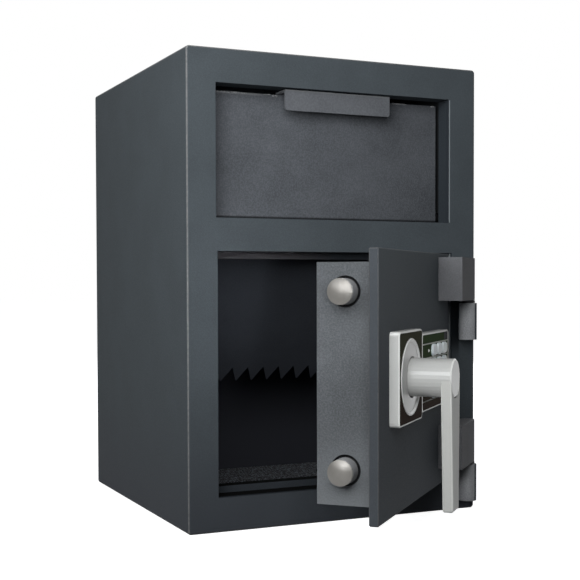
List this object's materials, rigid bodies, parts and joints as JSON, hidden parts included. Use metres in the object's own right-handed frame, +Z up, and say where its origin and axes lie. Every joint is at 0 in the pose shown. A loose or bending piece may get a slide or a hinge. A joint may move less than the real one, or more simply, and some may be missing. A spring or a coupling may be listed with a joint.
{
  "type": "drop safe with deposit drawer",
  "caption": "Free-standing deposit safe with a tilt-out deposit drawer above a hinged door with keypad lock, lever handle and sliding bolts.",
  "frame": {"origin": "middle of the base, on its underside", "axes": "+Z up, -Y out of the front face, +X to the right seen from the front"},
  "size_m": [0.353, 0.5616, 0.508],
  "materials": {
    "body_paint": "fine textured powder coat, satin",
    "hopper_paint": "fine textured powder coat, satin",
    "inner_paint": "textured powder coat, matt",
    "box_paint": "textured powder coat, satin",
    "bright_steel": "turned and polished",
    "plain_steel": "zinc plated, dull",
    "cast_grey": "satin grey coat on a die casting",
    "inlay": "printed polyester film",
    "key_white": "smooth",
    "lamp_clear": "polished",
    "case_black": "moulded",
    "carpet": "needled carpet, matt"
  },
  "bodies": {
    "body": {"body_shell": "body_paint", "rear_panel": "body_paint", "door_jamb": "body_paint", "hopper_surround": "body_paint", "floor_mat": "carpet", "chute_plate": "inner_paint", "rear_baffle": "inner_paint", "hopper_side_left": "inner_paint", "hopper_side_right": "inner_paint", "hopper_pivot_left": "plain_steel", "hopper_pivot_right": "plain_steel", "hopper_stop_left": "plain_steel", "hopper_stop_right": "plain_steel", "hinge_knuckle_upper": "body_paint", "hinge_knuckle_lower": "body_paint", "hinge_pin_upper": "plain_steel", "hinge_pin_lower": "plain_steel", "hinge_washer_upper": "bright_steel", "hinge_washer_lower": "bright_steel"},
    "hopper": {"hopper_front": "hopper_paint", "hopper_pull": "hopper_paint", "hopper_floor": "hopper_paint", "hopper_cheek_left": "hopper_paint", "hopper_cheek_right": "hopper_paint"},
    "door": {"door_plate": "body_paint", "hinge_block_upper": "body_paint", "hinge_block_lower": "body_paint", "bolt_box": "box_paint", "box_cover": "box_paint", "bolt_guide_upper": "plain_steel", "bolt_guide_lower": "plain_steel", "lock_case": "case_black", "lock_housing": "cast_grey", "handle_inlay": "inlay", "keypad_inlay": "inlay", "handle_rose": "cast_grey", "status_lamp": "lamp_clear"},
    "handle": {"handle_hub": "cast_grey", "handle_blade": "cast_grey", "handle_spindle": "plain_steel", "bolt_cam": "plain_steel"},
    "bolts": {"bolt_upper": "bright_steel", "bolt_lower": "bright_steel", "bolt_carriage": "plain_steel"},
    "blocker": {"blocking_pin": "plain_steel"},
    "key_1": {"key_1": "key_white"},
    "key_2": {"key_2": "key_white"},
    "key_3": {"key_3": "key_white"},
    "key_4": {"key_4": "key_white"},
    "key_5": {"key_5": "key_white"},
    "key_6": {"key_6": "key_white"},
    "key_7": {"key_7": "key_white"},
    "key_8": {"key_8": "key_white"},
    "key_9": {"key_9": "key_white"},
    "key_clear": {"key_clear": "key_white"},
    "key_0": {"key_0": "key_white"},
    "key_enter": {"key_enter": "key_white"}
  },
  "joints": [
    {"name": "door_hinge", "type": "hinge", "parent": "body", "child": "door", "pos_m": [0.16, -0.188, 0.15], "axis": [0, 0, 1], "range_deg": [-44.6, 125.4]},
    {"name": "hopper_tilt", "type": "hinge", "parent": "body", "child": "hopper", "pos_m": [-0.00145, -0.1435, 0.338], "axis": [1, 0, 0], "range_deg": [0, 50]},
    {"name": "handle_turn", "type": "hinge", "parent": "door", "child": "handle", "pos_m": [-0.00482, -0.33803, 0.1714], "axis": [-0.7022, 0.712, 0], "range_deg": [0, 60]},
    {"name": "bolt_throw", "type": "slide", "parent": "door", "child": "bolts", "axis": [-0.712, -0.7022, 0], "range_m": [0, 0.024]},
    {"name": "blocker_throw", "type": "slide", "parent": "door", "child": "blocker", "axis": [-0.7022, 0.712, 0], "range_m": [0, 0.009]},
    {"name": "key_1_press", "type": "slide", "parent": "door", "child": "key_1", "axis": [-0.7022, 0.712, 0], "range_m": [0, 0.0012], "stiffness_N_per_m": 400},
    {"name": "key_2_press", "type": "slide", "parent": "door", "child": "key_2", "axis": [-0.7022, 0.712, 0], "range_m": [0, 0.0012], "stiffness_N_per_m": 400},
    {"name": "key_3_press", "type": "slide", "parent": "door", "child": "key_3", "axis": [-0.7022, 0.712, 0], "range_m": [0, 0.0012], "stiffness_N_per_m": 400},
    {"name": "key_4_press", "type": "slide", "parent": "door", "child": "key_4", "axis": [-0.7022, 0.712, 0], "range_m": [0, 0.0012], "stiffness_N_per_m": 400},
    {"name": "key_5_press", "type": "slide", "parent": "door", "child": "key_5", "axis": [-0.7022, 0.712, 0], "range_m": [0, 0.0012], "stiffness_N_per_m": 400},
    {"name": "key_6_press", "type": "slide", "parent": "door", "child": "key_6", "axis": [-0.7022, 0.712, 0], "range_m": [0, 0.0012], "stiffness_N_per_m": 400},
    {"name": "key_7_press", "type": "slide", "parent": "door", "child": "key_7", "axis": [-0.7022, 0.712, 0], "range_m": [0, 0.0012], "stiffness_N_per_m": 400},
    {"name": "key_8_press", "type": "slide", "parent": "door", "child": "key_8", "axis": [-0.7022, 0.712, 0], "range_m": [0, 0.0012], "stiffness_N_per_m": 400},
    {"name": "key_9_press", "type": "slide", "parent": "door", "child": "key_9", "axis": [-0.7022, 0.712, 0], "range_m": [0, 0.0012], "stiffness_N_per_m": 400},
    {"name": "key_clear_press", "type": "slide", "parent": "door", "child": "key_clear", "axis": [-0.7022, 0.712, 0], "range_m": [0, 0.0012], "stiffness_N_per_m": 400},
    {"name": "key_0_press", "type": "slide", "parent": "door", "child": "key_0", "axis": [-0.7022, 0.712, 0], "range_m": [0, 0.0012], "stiffness_N_per_m": 400},
    {"name": "key_enter_press", "type": "slide", "parent": "door", "child": "key_enter", "axis": [-0.7022, 0.712, 0], "range_m": [0, 0.0012], "stiffness_N_per_m": 400}
  ],
  "couplings": [
    {"joint": "bolt_throw", "follows": "handle_turn", "m_per_rad": 0.022918}
  ]
}
